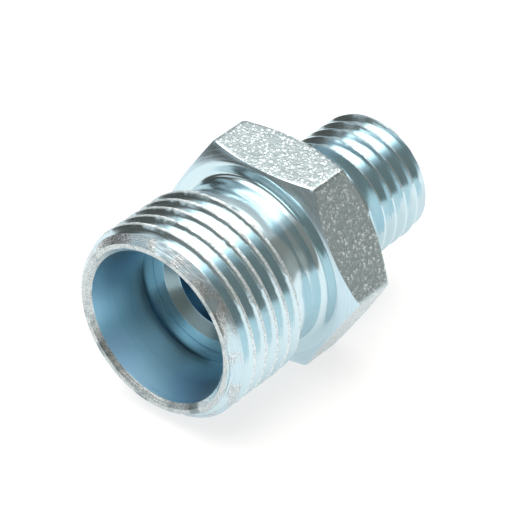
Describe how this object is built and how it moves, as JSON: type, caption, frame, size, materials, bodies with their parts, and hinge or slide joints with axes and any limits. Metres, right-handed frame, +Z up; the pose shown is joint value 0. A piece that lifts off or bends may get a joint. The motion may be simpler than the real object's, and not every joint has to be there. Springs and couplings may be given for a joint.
{
  "type": "straight reducing adapter",
  "caption": "One-piece steel straight reducing adapter: male thread and 24 degree tube seat at each end, the large end wider than the small, with a hexagon between and a stepped bore through.",
  "frame": {"origin": "on the surface it lies on, below the middle of the body's length", "axes": "+X along the body's axis from the large end to the small end, +Z up out of the top flat of the hexagon"},
  "size_m": [0.0304, 0.0218, 0.0189],
  "materials": {
    "zinc_plated_steel": "turned steel, bright zinc plated with a pale blue passivation; forged flats are matt and grainy"
  },
  "bodies": {
    "root": {"adapter_body": "zinc_plated_steel"}
  },
  "joints": []
}
